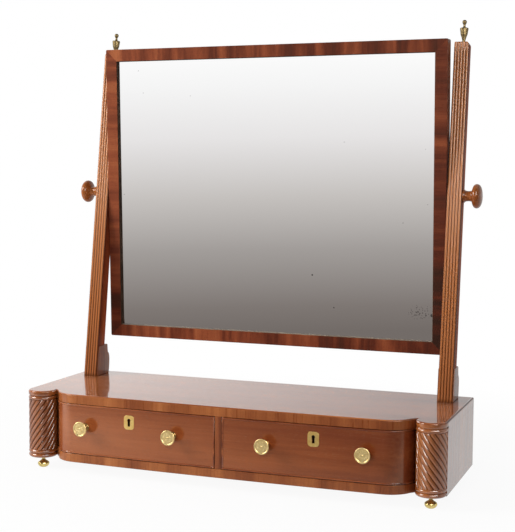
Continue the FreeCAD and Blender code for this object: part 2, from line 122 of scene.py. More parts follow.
rounding = [(1 - math.sin(a), 1 - math.cos(a), math.sin(2 * a))
            for a in map(math.radians, (0, 22.5, 45, 67.5, 90))]
arris_steps = [(1.5, 0.0, 0.0)] + rounding + [(0.0, 1.5, 0.0)]


def board(name, outline, low, high, arris, under=None, worn=None):
    """Board cut to an outline, with its upper and lower arrises rounded over and worn."""
    upper = arris if isinstance(arris, list) else [arris] * len(outline)
    lower = [under] * len(outline) if under else upper
    wear = [worn(p) if worn else 0.3 for p in outline]
    rings = []
    darkened = []
    for steps, radii, face, way in ((arris_steps, lower, low, 1), (arris_steps[::-1], upper, high, -1)):
        for inset, rise, mark in steps:
            ring = moved_in(outline, [inset * radius for radius in radii])
            rings.append([Vector((p.x, p.y, face + way * rise * radius)) for p, radius in zip(ring, radii)])
            darkened += [mark * w for w in wear]
    return stacked(name, rings, darkened)


class Tone:
    """One value in the making of a finish or a shape. Sums written with it add Math nodes."""

    def __init__(self, tree, socket=None):
        self.tree = tree
        self.socket = socket

    def node(self, kind, sockets=None, out=0, stops=(), **settings):
        """New node: its settings, the stops of its ramp, and its sockets, set or linked."""
        made = self.tree.nodes.new(kind)
        for name, value in settings.items():
            setattr(made, name, value)
        for _ in stops[2:]:
            made.color_ramp.elements.new(1.0)
        for i, (position, colour) in enumerate(stops):
            made.color_ramp.elements[i].position = position
            made.color_ramp.elements[i].color = (*colour, 1.0)
        for name, value in (sockets or {}).items():
            if isinstance(value, Tone):
                self.tree.links.new(value.socket, made.inputs[name])
            else:
                made.inputs[name].default_value = value
        return Tone(self.tree, made.outputs[out] if made.outputs else None)

    def sum(self, operation, a, b=0.0, clamp=False):
        return self.node("ShaderNodeMath", {0: a, 1: b}, operation=operation, use_clamp=clamp)

    def __add__(self, other):
        return self.sum("ADD", self, other)

    def __radd__(self, other):
        return self.sum("ADD", other, self)

    def __sub__(self, other):
        return self.sum("SUBTRACT", self, other)

    def __rsub__(self, other):
        return self.sum("SUBTRACT", other, self)

    def __mul__(self, other):
        return self.sum("MULTIPLY", self, other)

    def __truediv__(self, other):
        return self.sum("DIVIDE", self, other)

    def __rtruediv__(self, other):
        return self.sum("DIVIDE", other, self)

    def kept(self):
        """The same value kept between 0 and 1."""
        return self.sum("ADD", self, 0.0, clamp=True)

    def part(self, axis):
        """How far a place lies along one axis."""
        return self.node("ShaderNodeSeparateXYZ", {"Vector": self}, axis)

    def blend(self, share, colour, other, way="MIX"):
        """One colour going over into another."""
        return self.node("ShaderNodeMix", {0: share, 6: colour, 7: other}, 2,
                         data_type="RGBA", blend_type=way)


def tint(red, green, blue):
    """Colour as it is seen, from 0 to 255, for a finish."""
    return tuple(((c / 255 + 0.055) / 1.055) ** 2.4 if c > 10 else c / 3294.6 for c in (red, green, blue))


def new_finish(name):
    """Empty finish and the tone from which its nodes are made."""
    finish = bpy.data.materials.new(name)
    finish.use_nodes = True
    finish.node_tree.nodes.clear()
    return finish, Tone(finish.node_tree)


def shades(*colours, low=0.4, high=0.7):
    """Tones of a wood from its darkest to its palest, and where the two between them come."""
    places = (0.0, low, high, 1.0) if len(colours) > 2 else (0.0, 1.0)
    return [(place, tint(*colour)) for place, colour in zip(places, colours)]


def wood(name, tones, grain, figure=34.0, contrast=1.7, streaks=0.4, light_falloff=0.0, low_darkening=0.0, rake=0.0,
         polish=0.5, dull=0.3, specular=0.35, pores=0.3, relief=0.12, haze=0.05, glaze=1.5):
    """Planed wood, its fibres along one axis, from its tones, the width of its figure and its polish."""
    finish, start = new_finish(name)
    place = start.node("ShaderNodeTexCoord", out="Object")
    if rake:
        place = start.node("ShaderNodeVectorRotate", {"Vector": place, "Angle": rake}, rotation_type="X_AXIS")

    def fibres(along, across, detail, twist):
        scale = [across] * 3
        scale[grain] = along
        laid = start.node("ShaderNodeMapping", {"Vector": place, "Scale": scale})
        return start.node("ShaderNodeTexNoise", {
            "Vector": laid, "Scale": 1.0, "Detail": detail, "Distortion": twist})

    broad = fibres(figure * 0.07, figure, 3.0, 0.5)
    fine = fibres(figure * 0.4, figure * 11, 3.0, 0.2)
    pore = ((fibres(150, 2400, 1.0, 0.0) - 0.56) * 9).kept()
    # Tone darkened below a height is painted: painted shadow of the uprights on the lower frame stiles, and
    # the end of the painted crest highlight low on the uprights.
    darkening_top = 0.4
    dirt_and_shade = (0.16, 0.09, 0.06, 1.0)
    tone = (broad - 0.5) * contrast + (fine - 0.5) * (contrast * streaks) + 0.5
    # Tone shifted across the piece, lighter to the left, is painted fall-off of the light from the window on
    # the left.
    tone = tone + place.part(0) * light_falloff - (darkening_top - place.part(2)).kept() * low_darkening
    colour = start.node("ShaderNodeValToRGB", {"Fac": tone.kept()}, stops=tones)
    # The darkened mark multiplies in a dark brown and takes away the polish: wear on the arrises of boards,
    # and painted shade in reed grooves and at the feet of the uprights and brackets.
    wear_and_shade = start.node("ShaderNodeAttribute", out="Fac", attribute_name="darkened")
    dark = start.blend((pore * pores + wear_and_shade * 0.8).kept(), colour, dirt_and_shade, "MULTIPLY")
    bump = start.node("ShaderNodeBump", {
        "Strength": relief, "Distance": 0.2 * mm, "Height": fine * 0.5 - pore * 0.6})
    shader = start.node("ShaderNodeBsdfPrincipled", {
        "Base Color": dark, "Roughness": dull + (fine - 0.5) * 0.2 + pore * 0.1, "Normal": bump,
        "Specular IOR Level": specular, "Specular Tint": (1.0, 0.6, 0.35, 1.0),
        "Coat Weight": (1 - wear_and_shade).kept() * polish, "Coat Roughness": haze, "Coat IOR": glaze})
    start.node("ShaderNodeOutputMaterial", {"Surface": shader})
    return finish


def closed(piece):
    """Piece with its doubled points joined and all its faces turned outwards."""
    shape = bmesh.new()
    shape.from_mesh(piece.data)
    bmesh.ops.remove_doubles(shape, verts=shape.verts, dist=0.002 * mm)
    bmesh.ops.recalc_face_normals(shape, faces=shape.faces)
    shape.to_mesh(piece.data)
    shape.free()
    return piece


def fitted(piece, finish, slot, body, *nodes, crease=32):
    """Piece closed up, smoothed between its arrises, finished, and set in place of its solids."""
    closed(piece).data.shade_smooth()
    piece.data.set_sharp_from_angle(angle=math.radians(crease))
    piece.data.materials.clear()
    piece.data.materials.append(finish)
    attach(piece, body)
    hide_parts(*nodes)
    return piece


mahogany_tones = shades((90, 38, 16), (124, 60, 27), (158, 90, 46), (184, 116, 68), low=0.35, high=0.65)
# The edge banding is painted lighter to the left, as the window's light falls off.
band_finish = wood("cross_banded_edge", mahogany_tones, 2, figure=30, contrast=1.2, light_falloff=-0.7, polish=0.25,
                   streaks=0.25, specular=0.7)
bow_half = [p for p in bow_line(0.0) if p.y < column_y]
notch_turn = 167
notch_end = 129
board_arris = 0.9 * mm
socket = arc((column_x, column_y), housing_radius, notch_turn, notch_end, 8)
bottom_half = bow_half + socket + [Vector((panel_x, post_front)), Vector((panel_x, box_back))]
bottom_low, bottom_high = [corner.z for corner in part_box("base_bottom")]
bottom_board = board("bottom_board", both_halves(bottom_half), bottom_low, bottom_high, board_arris)
fitted(bottom_board, band_finish, "mahogany", "base", "base_bottom")


# Four turned brass feet: a small bun under a narrow neck, screwed up into the columns in front and
# into the bottom board behind.

def through(points, steps=6):
    """Smooth line through a row of points; two points alone stay straight."""
    if len(points) == 2:
        return points
    row = [2 * points[0] - points[1]] + points + [2 * points[-1] - points[-2]]
    line = []
    for a, b, c, d in zip(row, row[1:], row[2:], row[3:]):
        for i in range(steps):
            t = i / steps
            line.append(0.5 * (2 * b + (c - a) * t + (2 * a - 5 * b + 4 * c - d) * t ** 2
                               + (3 * b - a - 3 * c + d) * t ** 3))
    return line + [points[-1]]


def turned(name, stretches, radius, height, place, around=48, dark_below=0.0):
    """Piece turned on a lathe about Z, from shares of its radius and height, then set in place."""
    side = []
    for stretch in stretches:
        for p in through([Vector((r * radius, h * height)) for r, h in stretch]):
            if not side or (p - side[-1]).length > 0.001 * mm:
                side.append(p)
    points = []
    rings = []
    darkened = []
    for p in side:
        turns = around if p.x > 0.001 * mm else 1
        darkened += [1.0 if p.y < dark_below * height else 0.0] * turns
        rings.append(list(range(len(points), len(points) + turns)))
        angles = [math.tau * i / turns for i in range(turns)]
        reach = max(p.x, 0) if turns > 1 else 0.0
        points += [Vector((reach * math.cos(a), reach * math.sin(a), p.y)) for a in angles]
    faces = []
    for low, high in zip(rings, rings[1:]):
        for i in range(around):
            j = i + 1
            quad = [low[i % len(low)], low[j % len(low)], high[j % len(high)], high[i % len(high)]]
            faces.append(list(dict.fromkeys(quad)))
    for ring in (rings[0], rings[-1]):
        if len(ring) > 1:
            faces.append(ring)
    return joined(name, [place @ p for p in points], faces, darkened)


def metal(name, bright, dark, roughness, age):
    """Cast and polished brass with a little tarnish in patches."""
    finish, start = new_finish(name)
    place = start.node("ShaderNodeTexCoord", out="Object")
    patches = start.node("ShaderNodeTexNoise", {"Vector": place, "Scale": 260.0, "Detail": 4.0})
    scuffs = start.node("ShaderNodeTexNoise", {"Vector": place, "Scale": 2600.0, "Detail": 2.0})
    wear_and_shade = start.node("ShaderNodeAttribute", out="Fac", attribute_name="darkened")
    tarnish = ((patches - 0.5) * 2.2 + age).kept()
    colour = start.blend(tarnish, (*bright, 1.0), (*dark, 1.0))
    # Points marked darkened turn dark brown: on the drawer knobs, painted shade on the neck and the back of
    # the head, with a little tarnish in that recess.
    colour = start.blend(wear_and_shade * 0.9, colour, (0.3, 0.2, 0.12, 1.0), "MULTIPLY")
    bump = start.node("ShaderNodeBump", {"Strength": 0.1, "Distance": 0.1 * mm, "Height": scuffs})
    shader = start.node("ShaderNodeBsdfPrincipled", {
        "Base Color": colour, "Metallic": 1.0, "Normal": bump,
        "Roughness": roughness + tarnish * 0.15 + (scuffs - 0.5) * 0.1})
    start.node("ShaderNodeOutputMaterial", {"Surface": shader})
    return finish


brass = metal("polished_brass", tint(236, 214, 142), tint(196, 160, 84), 0.16, 0.2)
foot_spigot = 10 * mm
foot_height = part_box("right_front_foot")[1].z - foot_spigot
foot_radius = 8.7 * mm
foot_side = [
    [(0.0, 0.0), (0.4, 0.0)],
    [(0.4, 0.0), (0.6, 0.03), (0.82, 0.11), (0.97, 0.23), (1.0, 0.33), (0.95, 0.41)],
    [(0.95, 0.41), (0.72, 0.5), (0.47, 0.58), (0.31, 0.68), (0.28, 0.79), (0.34, 0.94)],
    [(0.34, 0.94), (0.36, 1.0)],
    [(0.36, 1.0), (0.0, 1.0)],
]
for node in ("left_front_foot", "right_front_foot", "left_rear_foot", "right_rear_foot"):
    low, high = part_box(node)
    stand = Matrix.Translation(((low.x + high.x) / 2, (low.y + high.y) / 2, 0))
    bun = turned(f"{node}_bun", foot_side, foot_radius, foot_height, stand)
    fitted(bun, brass, "brass", "base", node)


# Sides and back of the box, with the post behind each column, the guides that keep the drawers straight
# and the divider between them: planed boards, glued and rubbed in, the sides veneered with upright grain.

def eased(corners, radius, steps=3):
    """Outline with its corners rounded, each with a point close by on both sides to keep the flats flat."""
    line = []
    for i, corner in enumerate(corners):
        to_before = (corners[i - 1] - corner).normalized()
        to_after = (corners[(i + 1) % len(corners)] - corner).normalized()
        half = math.acos(max(-1, min(1, to_before.dot(to_after)))) / 2
        reach = radius / math.tan(half)
        centre = corner + (to_before + to_after).normalized() * radius / math.sin(half)
        first = corner + to_before * reach - centre
        last = corner + to_after * reach - centre
        sweep = first.angle_signed(last)
        line.append(corner + to_before * reach * 1.6)
        for k in range(steps + 1):
            a = -sweep * k / steps
            line.append(centre + Vector((first.x * math.cos(a) - first.y * math.sin(a),
                                         first.x * math.sin(a) + first.y * math.cos(a))))
        line.append(corner + to_after * reach * 1.6)
    return line


def squared(left, front, right, back):
    """Four corners of a rectangle."""
    return [Vector(p) for p in ((left, front), (right, front), (right, back), (left, back))]


def plank(name, node, arris):
    """Squared board with eased arrises, as large as its solid."""
    low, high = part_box(node)
    return board(name, eased(squared(low.x, low.y, high.x, high.y), arris), low.z, high.z, arris)


def refaced(piece, finish, chosen):
    """Piece with one more finish, on the faces that a test chooses."""
    piece.data.materials.append(finish)
    for face in piece.data.polygons:
        if chosen(face):
            face.material_index = len(piece.data.materials) - 1


veneer_arris = 0.25 * mm
planed_arris = 0.5 * mm
back_arris = 0.6 * mm
pine_tones = shades((120, 84, 50), (158, 118, 76), (180, 142, 96), (198, 164, 116))
# The side veneer is painted a little lighter on the left side than on the right, as the window's light falls
# off.
side_finish = wood("side_veneer", mahogany_tones, 2, figure=26, polish=1.0, dull=0.3, light_falloff=-0.25)
upright_grain = wood("inner_mahogany", mahogany_tones, 2, figure=30, polish=0.1, dull=0.45)
back_pine = wood("back_pine", pine_tones, 0, figure=30, polish=0.0, dull=0.62, pores=0.12, relief=0.3)
for side in ("left", "right"):
    panel = f"{side}_side_panel"
    fitted(plank(f"{panel}_veneered", panel, veneer_arris), side_finish, "mahogany", "base", panel)
    post = f"{side}_corner_post"
    fitted(plank(f"{post}_planed", post, planed_arris), upright_grain, "mahogany", "base", post)
fitted(plank("back_board", "back_panel", back_arris), back_pine, "pine", "base", "back_panel")
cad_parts["drawer_guides"].material_slots[0].material = back_pine

divider_low, divider_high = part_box("centre_divider")
divider_half = divider_high.x
divider_arris = 0.3 * mm
nose = [p for p in bow_line(0.0) if p.x < divider_half] + [Vector((divider_half, bow_front))]
divider_plan = both_halves(nose + [Vector((divider_half, divider_high.y))])
divider_tones = shades((78, 32, 16), (114, 54, 28), (140, 74, 40), (158, 90, 52))
divider_finish = wood("divider_mahogany", divider_tones, 2, figure=60, polish=0.25, specular=0.6)
# A near-black, dull finish stands in the gaps: painted shade on the divider's sides and on the top, bottom
# and inner end of the drawer fronts.
gap_shade_tones = shades((30, 14, 8), (54, 28, 16))
gap_shade_finish = wood("painted_gap_shade", gap_shade_tones, 2, polish=0.0, dull=0.7, specular=0.0)
squarely = 0.9
divider = board("divider", divider_plan, divider_low.z, divider_high.z, divider_arris)
fitted(divider, divider_finish, "mahogany", "base", "centre_divider")
# Painted shade on the divider's sides, in the gaps beside the drawers.
refaced(divider, gap_shade_finish, lambda face: abs(face.normal.x) > squarely)


# Corner columns: solid mahogany, turned with two ring beads at each end, the shaft between them carved
# with spiral reeds that run opposite ways on the two sides.

def shape_tree(name, sizes):
    """New node tree for a shape, with its named sizes, and a tone for each of them."""
    tree = bpy.data.node_groups.new(name, "GeometryNodeTree")
    tree.interface.new_socket("Shape", in_out="OUTPUT", socket_type="NodeSocketGeometry")
    for label, kind in sizes.items():
        tree.interface.new_socket(label, in_out="INPUT", socket_type=f"NodeSocket{kind}")
    start = Tone(tree)
    return tree, start, {label: start.node("NodeGroupInput", out=label) for label in sizes}


def close_tree(start, shape, finish):
    """Ends a shape's tree with its instances made real and its finish."""
    real = start.node("GeometryNodeRealizeInstances", {"Geometry": shape})
    done = start.node("GeometryNodeSetMaterial", {"Geometry": real, "Material": finish})
    start.node("NodeGroupOutput", {"Shape": done})


def settle(piece, modifier):
    """Makes what a modifier does to a piece its plain shape."""
    mesh = bpy.data.meshes.new_from_object(piece.evaluated_get(bpy.context.evaluated_depsgraph_get()))
    piece.modifiers.remove(modifier)
    piece.data = mesh


def grown(name, tree, sizes, seed_points=()):
    """Plain piece from a shape's tree and its sizes."""
    piece = joined(name, seed_points, [])
    modifier = piece.modifiers.new("growth", "NODES")
    modifier.node_group = tree
    for item in tree.interface.items_tree:
        if item.in_out == "INPUT" and item.name in sizes:
            modifier[item.identifier] = sizes[item.name]
    settle(piece, modifier)
    return piece


def taken_together(name, pieces):
    """Several pieces glued up into one."""
    shape = bmesh.new()
    for piece in pieces:
        shape.from_mesh(piece.data)
        bpy.data.objects.remove(piece)
    whole = joined(name, [], [])
    shape.to_mesh(whole.data)
    shape.free()
    return whole


steps_per_reed = 14
crown_power = 2.6
run_out = 3.4 * mm
reed_tree, start, size = shape_tree("spiral_reeds", {
    "Reeds": "Int", "Groove radius": "Float", "Reed depth": "Float", "Length": "Float", "Turn": "Float",
    "Finish": "Material"})
ring = start.node("GeometryNodeCurvePrimitiveCircle", {
    "Resolution": size["Reeds"] * steps_per_reed, "Radius": 1.0})
index = start.node("GeometryNodeInputIndex")
across = start.sum("MODULO", index, float(steps_per_reed)) * (2.0 / steps_per_reed) - 1
crown = 1 - start.sum("POWER", start.sum("ABSOLUTE", across), crown_power)
spot = start.node("GeometryNodeInputPosition")
reached = start.node("ShaderNodeVectorMath", {
    "Vector": spot, "Scale": size["Groove radius"] + size["Reed depth"] * crown}, operation="SCALE")
section = start.node("GeometryNodeSetPosition", {"Geometry": ring, "Position": reached})
# The grooves between the reeds are marked darkened: painted shade, deepest at the bottom of each groove.
section = start.node("GeometryNodeStoreNamedAttribute", {
    "Geometry": section, "Name": "darkened", "Value": start.sum("POWER", 1 - crown, 2.0) * 1.1},
    data_type="FLOAT", domain="POINT")
end = start.node("ShaderNodeCombineXYZ", {"Z": size["Length"]})
axis = start.node("GeometryNodeCurvePrimitiveLine", {"Start": (0, 0, 0), "End": end})
axis = start.node("GeometryNodeResampleCurve", {"Curve": axis, "Count": 90})
along = start.node("GeometryNodeSplineParameter", out="Factor")
axis = start.node("GeometryNodeSetCurveTilt", {"Curve": axis, "Tilt": along * size["Turn"]})
near_end = (start.sum("MINIMUM", along, 1 - along) * size["Length"] / run_out).kept()
pull = 1 - (1 - near_end) * (1 - near_end) * 0.1
axis = start.node("GeometryNodeSetCurveRadius", {"Curve": axis, "Radius": pull})
shaft = start.node("GeometryNodeCurveToMesh", {
    "Curve": axis, "Profile Curve": section, "Fill Caps": True})
close_tree(start, shaft, size["Finish"])

carved_tones = shades((96, 44, 16), (138, 74, 32), (160, 92, 44), (182, 112, 58))
carved = wood("carved_mahogany", carved_tones, 2, figure=40, streaks=0.2, polish=0.9, dull=0.34, specular=0.3,
              relief=0.02, haze=0.09, glaze=1.85)
column_low, column_high = [corner.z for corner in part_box("right_column")]
ring_height = 6 * mm
shaft_length = column_high - column_low - 4 * ring_height
groove_radius = 19.1 * mm
reed_depth = 2.1 * mm
reed_count = 16
reed_slope = math.radians(52.3)
shaft_seat = 0.2 * mm
turn = shaft_length / (math.tan(reed_slope) * (groove_radius + reed_depth))
bead_side = [(0.905, 0.0), (0.955, 0.12), (0.99, 0.32), (1.0, 0.52), (0.985, 0.72), (0.945, 0.9), (0.9, 1.0)]
head_side = [(0.905, 0.0), (0.955, 0.12), (0.99, 0.32), (1.0, 0.58), (1.0, 1.0)]


def bead_rings(name, z, low_side, high_side, place):
    """Two ring beads, one on the other."""
    rows = [[(r, h / 2) for r, h in low_side], [(r, 0.5 + h / 2) for r, h in high_side]]
    ends = [[(0.0, 0.0), rows[0][0]]] + rows + [[rows[1][-1], (0.0, 1.0)]]
    lifted = place @ Matrix.Translation((0, 0, z))
    return turned(name, ends, column_radius, 2 * ring_height, lifted, around=96)


both_sides = (("left", -1), ("right", 1))
for side, sign in both_sides:
    stand = Matrix.Translation((sign * column_x, column_y, 0))
    reeds = grown(f"{side}_reeds", reed_tree, {
        "Reeds": reed_count, "Groove radius": groove_radius, "Reed depth": reed_depth,
        "Length": shaft_length + 2 * shaft_seat, "Turn": -sign * turn, "Finish": carved})
    reeds.data.transform(stand @ Matrix.Translation((0, 0, column_low + 2 * ring_height - shaft_seat)))
    rings = [bead_rings(f"{side}_low_rings", column_low, bead_side, bead_side, stand),
             bead_rings(f"{side}_high_rings", column_high - 2 * ring_height, bead_side, head_side, stand)]
    node = f"{side}_column"
    shaft = taken_together(f"{node}_carved", [reeds] + rings)
    fitted(shaft, carved, "carved_mahogany", "base", node, crease=38)


# Top board of the box: polished mahogany, bowed like the bottom board, running out over the columns in
# two rounded ears, its arrises softened. The uprights are tenoned into it, and mortises take the lock bolts.

def cut_out(piece, cutter):
    """Takes the shape of a cutter out of a piece."""
    modifier = piece.modifiers.new("cut", "BOOLEAN")
    modifier.operation = "DIFFERENCE"
    modifier.object = cutter
    settle(piece, modifier)
    bpy.data.objects.remove(cutter)


def upright_cutter(name, outline, low, high):
    """Cutter that stands upright on an outline."""
    return stacked(name, [[Vector((p.x, p.y, z)) for p in outline] for z in (low, high)])


def on_edge(face):
    """Whether a face of the top board belongs to its front or side edges."""
    return abs(face.normal.z) < 0.4 and face.center.y < box_back - 1 * mm


def at_ends(p):
    """Whether a point of the top board lies on its left or right edge."""
    return abs(p.x) > half_width - 0.5 * mm


top_tones = shades((112, 52, 22), (150, 80, 38), (176, 102, 52), (196, 122, 70), low=0.35, high=0.65)
# The top is painted lighter to the left, as the window's light falls off.
top_finish = wood("polished_top", top_tones, 0, figure=22, polish=1.0, dull=0.2, light_falloff=-0.5, relief=0.02,
                  pores=0.15, specular=0.1, haze=0.03)
top_low, top_high = [corner.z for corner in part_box("base_top")]
ear = arc((column_x, column_y), column_radius, notch_turn, 360, 46)
top_plan = both_halves(bow_half + ear + [Vector((half_width, box_back))])
bow_arris = 1.7 * mm
ear_arris = 2.4 * mm
arrises = [bow_arris if abs(p.x) < bow_tip_x else ear_arris for p in top_plan]
top_board = board("top_board", top_plan, top_low, top_high, arrises, under=veneer_arris,
                  worn=lambda p: 1.0 if at_ends(p) else 0.1)
below = top_low - 5 * mm
bolt_rise = 5 * mm
mortise_play = 0.8 * mm
for side, sign in both_sides:
    drill = arc((sign * column_x, column_y), housing_radius, 0, 354, 59)
    cut_out(top_board, upright_cutter("drill", drill, below, column_high))
    low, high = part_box(f"{side}_lock_bolt")
    mortise = squared(low.x - mortise_play, low.y - mortise_play,
                      high.x + mortise_play, high.y + mortise_play)
    cut_out(top_board, upright_cutter("chisel", mortise, below, high.z + bolt_rise + mortise_play))
fitted(top_board, top_finish, "mahogany", "base", "base_top")
refaced(top_board, band_finish, on_edge)
refaced(top_board, side_finish, lambda face: on_edge(face) and at_ends(face.center))


# Drawer fronts: solid mahogany shaped to the bow, faced with veneer whose grain runs along the drawer,
# with a thin bead let in along the top, the bottom and the inner end, standing a little proud.

def facing(x):
    """The way that the bow front faces at some distance from its middle."""
    return Vector((x, -math.sqrt(bow_radius ** 2 - x ** 2), 0)).normalized()


def on_bow(x, z):
    """Place on the bow front: right, up, and straight out from it."""
    out = facing(x)
    up = Vector((0, 0, 1))
    place = Matrix((up.cross(out), up, out)).transposed().to_4x4()
    place.translation = Vector((0, bow_centre_y, z)) + out * bow_radius
    return place


def keyhole(name, place, depth):
    """Cutter for a keyhole: a round eye over a slot."""
    eye_rise = 3.1 * mm
    eye_radius = 2.6 * mm
    slot_half = 1.9 * mm
    slot_drop = 5.7 * mm
    eye = arc((0, eye_rise), eye_radius, -40, 220, 28)
    outline = [Vector((-slot_half, -slot_drop)), Vector((slot_half, -slot_drop))] + eye
    cutter = upright_cutter(name, outline, -depth, 3 * mm)
    cutter.data.transform(place)
    return closed(cutter)


drawer_tones = shades((80, 28, 13), (112, 49, 23), (144, 74, 37), (166, 95, 52), low=0.3, high=0.6)
# The drawer veneer and its beads are painted lighter to the left, as the window's light falls off.
drawer_finish = wood("drawer_veneer", drawer_tones, 0, figure=20, contrast=1.0, light_falloff=-0.95, polish=0.45,
                     dull=0.18, specular=1.0, relief=0.02, streaks=0.25)
bead_finish = wood("drawer_bead_mahogany", drawer_tones, 0, figure=60, polish=0.7, light_falloff=-0.9)
front_low, front_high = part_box("right_drawer_front")
inner_x = front_low.x
outer_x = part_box("right_drawer_outer_side")[1].x
front_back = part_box("right_drawer_outer_side")[0].y
plate_z = front_high.z - 19.7 * mm
lock_x = (inner_x + bow_tip_x) / 2
key_depth = 11 * mm
lip = 0.3 * mm
bead_section = [(0.0, -1.2), (0.0, 0.1), (0.18, 0.55), (0.6, 0.84), (1.1, 0.9), (1.6, 0.84), (2.02, 0.55),
                (2.2, 0.1), (2.2, -1.2)]
for side, sign in both_sides:
    plan = bow_line(inner_x + lip) + [Vector(p) for p in (
        (outer_x, bow_end_y), (outer_x, front_back), (inner_x + lip, front_back))]
    if sign < 0:
        plan = [Vector((-p.x, p.y)) for p in reversed(plan)]
    front = board(f"{side}_drawer_veneer", plan, front_low.z + lip, front_high.z - lip, veneer_arris)
    cut_out(front, keyhole("key_cutter", on_bow(sign * lock_x, plate_z), key_depth))
    fitted(front, drawer_finish, "drawer_mahogany", f"{side}_drawer", f"{side}_drawer_front")
    # Painted shade on the top, bottom and inner end of the front, in the gaps round the drawer.
    refaced(front, gap_shade_finish,
            lambda face: abs(face.normal.z) > squarely or sign * face.normal.x < -squarely)

    run = bow_line(inner_x)
    rings = []
    for edge, points in ((-1, reversed(run[1:])), (1, run[1:])):
        z = front_high.z if edge < 0 else front_low.z
        corner = (run[0], Vector((1, edge)))
        stops = [(p, Vector((0, edge))) for p in points]
        for p, inward in (stops + [corner] if edge < 0 else [corner] + stops):
            if p.y <= bow_end_y - 39.9 * mm or p.x < bow_end_x:
                out = facing(p.x)
            else:
                out = (p.to_3d() - Vector((bow_end_x, bow_end_y, 0))).normalized()
            rings.append([Vector((sign * (p.x + inward.x * a * mm + out.x * b * mm), p.y + out.y * b * mm,
                                  z + inward.y * a * mm)) for a, b in bead_section])
    bead = stacked(f"{side}_bead", rings)
    fitted(bead, bead_finish, "drawer_mahogany", f"{side}_drawer", f"{side}_drawer_bead", crease=50)


# Drawer linings: thin planed oak sides, back and bottom, plain and unpolished, glued to the back of
# each drawer front.

lining_arris = 0.4 * mm
oak_tones = shades((132, 98, 60), (170, 134, 88), (190, 156, 106), (206, 176, 128))
side_oak = wood("lining_oak", oak_tones, 1, figure=40, polish=0.0, dull=0.6, pores=0.35, relief=0.3)
cross_oak = wood("cross_lining_oak", oak_tones, 0, figure=40, polish=0.0, dull=0.6, pores=0.35, relief=0.3)
for side in ("left", "right"):
    for part, finish in (("outer_side", side_oak), ("inner_side", side_oak),
                         ("back", cross_oak), ("bottom", cross_oak)):
        node = f"{side}_drawer_{part}"
        fitted(plank(f"{node}_planed", node, lining_arris), finish, "drawer_lining", f"{side}_drawer", node)


# Locks: a small iron case let into the back of each drawer front, with a bolt that the key lifts into
# its mortise in the top board.

case_arris = 0.5 * mm
bolt_arris = 0.4 * mm
iron = metal("lock_iron", tint(112, 108, 104), tint(62, 58, 55), 0.42, 0.45)
for side in ("left", "right"):
    fitted(plank(f"{side}_lock_box", f"{side}_lock_case", case_arris), iron, "lock_iron", f"{side}_drawer",
           f"{side}_lock_case")
    fitted(plank(f"{side}_bolt_bar", f"{side}_lock_bolt", bolt_arris), iron, "lock_iron", f"{side}_bolt",
           f"{side}_lock_bolt")


# Escutcheons: sheet brass plates with rounded corners, let into the drawer fronts and pinned there, a
# keyhole cut through each.

plate_brass = metal("plate_brass", tint(246, 210, 132), tint(224, 178, 96), 0.32, 0.3)
plate_x = 8.25 * mm
plate_half = 10.5 * mm
plate_corner = 5 * mm
plate_sunk = 1.1 * mm
plate_proud = 0.4 * mm
plate_arris = 0.35 * mm
plate_plan = eased(squared(-plate_x, -plate_half, plate_x, plate_half), plate_corner, steps=8)
for side, sign in both_sides:
    place = on_bow(sign * lock_x, plate_z)
    plate = board(f"{side}_key_plate", plate_plan, -plate_sunk, plate_proud, plate_arris)
    plate.data.transform(place)
    cut_out(plate, keyhole("key_cutter", place, key_depth))
    fitted(plate, plate_brass, "brass", f"{side}_drawer", f"{side}_escutcheon")


# Drawer knobs: stamped brass faces, a plain rim round a raised rosette, on a turned neck and flange,
# each held by a spigot through the drawer front.

petal_tree, start, size = shape_tree("rosette", {
    "Petals": "Int", "Ring": "Float", "Petal length": "Float", "Petal width": "Float", "Petal rise": "Float",
    "Boss": "Float", "Finish": "Material"})
ring = start.node("GeometryNodeMeshCircle", {"Vertices": size["Petals"], "Radius": size["Ring"]})
petal = start.node("GeometryNodeMeshUVSphere", {"Segments": 12, "Rings": 8, "Radius": 1.0})
swing = start.node("GeometryNodeInputIndex") * (math.tau / size["Petals"])
heading = start.node("ShaderNodeCombineXYZ", {"Z": swing})
spread = start.node("ShaderNodeCombineXYZ", {
    "X": size["Petal length"], "Y": size["Petal width"], "Z": size["Petal rise"]})
petals = start.node("GeometryNodeInstanceOnPoints", {
    "Points": ring, "Instance": petal, "Rotation": heading, "Scale": spread}, out="Instances")
dome = start.node("GeometryNodeMeshUVSphere", {"Segments": 20, "Rings": 10, "Radius": size["Boss"]})
rosette = start.node("GeometryNodeJoinGeometry", {"Geometry": petals})
start.tree.links.new(dome.socket, rosette.socket.node.inputs["Geometry"])
close_tree(start, rosette, size["Finish"])

